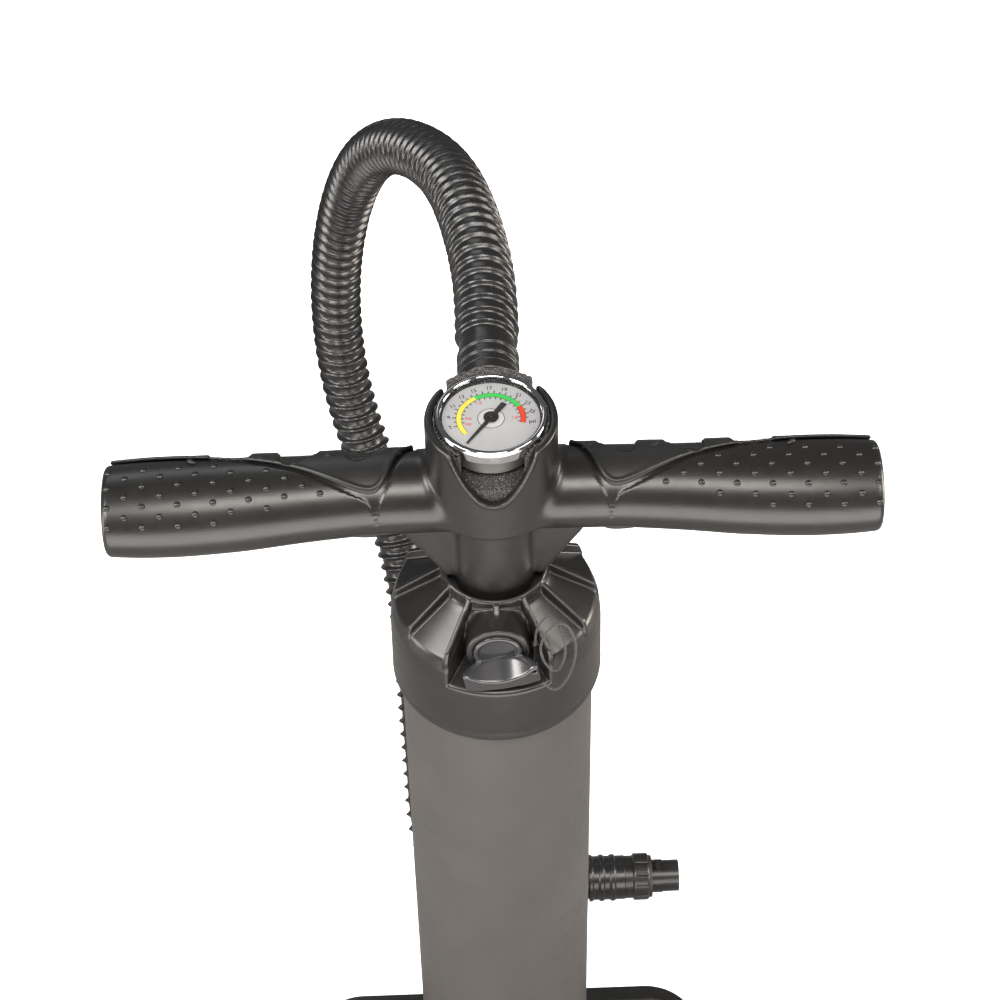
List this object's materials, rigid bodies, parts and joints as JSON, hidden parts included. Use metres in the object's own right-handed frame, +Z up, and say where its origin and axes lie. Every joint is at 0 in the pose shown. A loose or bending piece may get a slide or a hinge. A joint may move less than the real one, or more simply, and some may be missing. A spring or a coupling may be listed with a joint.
{
  "type": "double action hand pump",
  "caption": "Upright barrel hand pump with a T handle, a pressure gauge in the hub, a ribbed cap with a vent plug and a long ribbed hose.",
  "frame": {"origin": "on the barrel's axis, in the plane of the rubber pads under the base", "axes": "+Z up along the barrel, -Y towards the gauge window and the vent port, the handle lies along X"},
  "size_m": [0.38, 0.4645, 0.616],
  "materials": {
    "barrel_plastic": "satin extruded tube",
    "moulded_black": "fine moulded satin",
    "gloss_black": "polished moulding",
    "grip_rubber": "soft overmoulding",
    "hose_vinyl": "flexible vinyl",
    "guide_plastic": "natural acetal",
    "seal_rubber": "moulded seal",
    "pad_rubber": "ribbed rubber",
    "foam": "open cell foam",
    "cord": "braided cord",
    "screw_steel": "zinc plated",
    "shaft_aluminium": "drawn and anodised",
    "brass": "turned",
    "chrome": "polished",
    "case_grey": "satin paint",
    "dial_white": "printed",
    "needle_black": "painted",
    "lens_clear": "clear"
  },
  "bodies": {
    "barrel": {"barrel_tube": "barrel_plastic", "top_cap": "moulded_black", "cap_seal": "seal_rubber", "shaft_guide": "guide_plastic", "stroke_bumper": "seal_rubber", "seal_retainer": "guide_plastic", "retainer_screws": "screw_steel", "base_foot": "moulded_black", "base_seal": "seal_rubber", "base_screws": "screw_steel", "foot_pads": "pad_rubber", "left_foot_tread": "pad_rubber", "right_foot_tread": "pad_rubber", "plug_cord": "cord", "hose": "hose_vinyl", "nozzle_cuff": "hose_vinyl"},
    "shaft_seal": {"shaft_seal": "seal_rubber"},
    "intake_valve": {"intake_valve_disc": "seal_rubber"},
    "vent_plug": {"vent_plug": "gloss_black", "plug_seal": "seal_rubber"},
    "nozzle": {"nozzle": "moulded_black", "nozzle_gasket": "seal_rubber"},
    "handle": {"handle_body": "moulded_black", "left_grip_pad": "grip_rubber", "right_grip_pad": "grip_rubber", "shaft_tube": "shaft_aluminium", "shaft_screws": "screw_steel", "piston_upper_half": "guide_plastic", "piston_lower_half": "guide_plastic", "upper_piston_seal": "seal_rubber", "lower_piston_seal": "seal_rubber", "piston_screws": "screw_steel", "spigot_seal": "seal_rubber", "hose_tail": "moulded_black", "hose_cuff": "hose_vinyl", "gauge_foam": "foam", "gauge_case": "case_grey", "gauge_bezel": "chrome", "gauge_dial": "dial_white", "gauge_lens": "lens_clear", "lens_gasket": "seal_rubber", "gauge_stem": "brass", "gauge_movement": "brass", "bourdon_tube": "brass"},
    "hose_nut": {"hose_nut": "moulded_black"},
    "downstroke_valve": {"downstroke_valve_disc": "seal_rubber"},
    "upstroke_valve": {"upstroke_valve_disc": "seal_rubber"},
    "sector_gear": {"sector_gear": "brass"},
    "needle": {"gauge_needle": "needle_black", "needle_hub": "needle_black", "needle_arbor": "brass"}
  },
  "joints": [
    {"name": "handle_stroke", "type": "slide", "parent": "barrel", "child": "handle", "axis": [0, 0, 1], "range_m": [0, 0.4], "deforming": ["hose"]},
    {"name": "shaft_seal_float", "type": "slide", "parent": "barrel", "child": "shaft_seal", "axis": [0, 0, -1], "range_m": [0, 0.003]},
    {"name": "intake_valve_lift", "type": "slide", "parent": "barrel", "child": "intake_valve", "axis": [0, 0, 1], "range_m": [0, 0.002]},
    {"name": "vent_plug_pull", "type": "slide", "parent": "barrel", "child": "vent_plug", "axis": [0, -1, 0], "range_m": [0, 0.03], "deforming": ["plug_cord"]},
    {"name": "nozzle_swivel", "type": "hinge", "parent": "barrel", "child": "nozzle", "pos_m": [0.09, 0.14, 0.017], "axis": [1, 0, 0], "continuous": true},
    {"name": "hose_nut_turn", "type": "hinge", "parent": "handle", "child": "hose_nut", "pos_m": [0, 0.042, 0.587], "axis": [0, 1, 0], "range_deg": [0, 540]},
    {"name": "downstroke_valve_lift", "type": "slide", "parent": "handle", "child": "downstroke_valve", "axis": [0, 0, 1], "range_m": [0, 0.002]},
    {"name": "upstroke_valve_drop", "type": "slide", "parent": "handle", "child": "upstroke_valve", "axis": [0, 0, -1], "range_m": [0, 0.002]},
    {"name": "sector_turn", "type": "hinge", "parent": "handle", "child": "sector_gear", "pos_m": [0, 0.00985, 0.604], "axis": [0, 0, 1], "range_deg": [0, 41.1]},
    {"name": "needle_turn", "type": "hinge", "parent": "handle", "child": "needle", "pos_m": [0, 0, 0.606], "axis": [0, 0, -1], "range_deg": [0, 247]}
  ],
  "couplings": [
    {"joint": "needle_turn", "follows": "sector_turn", "ratio": 6}
  ]
}
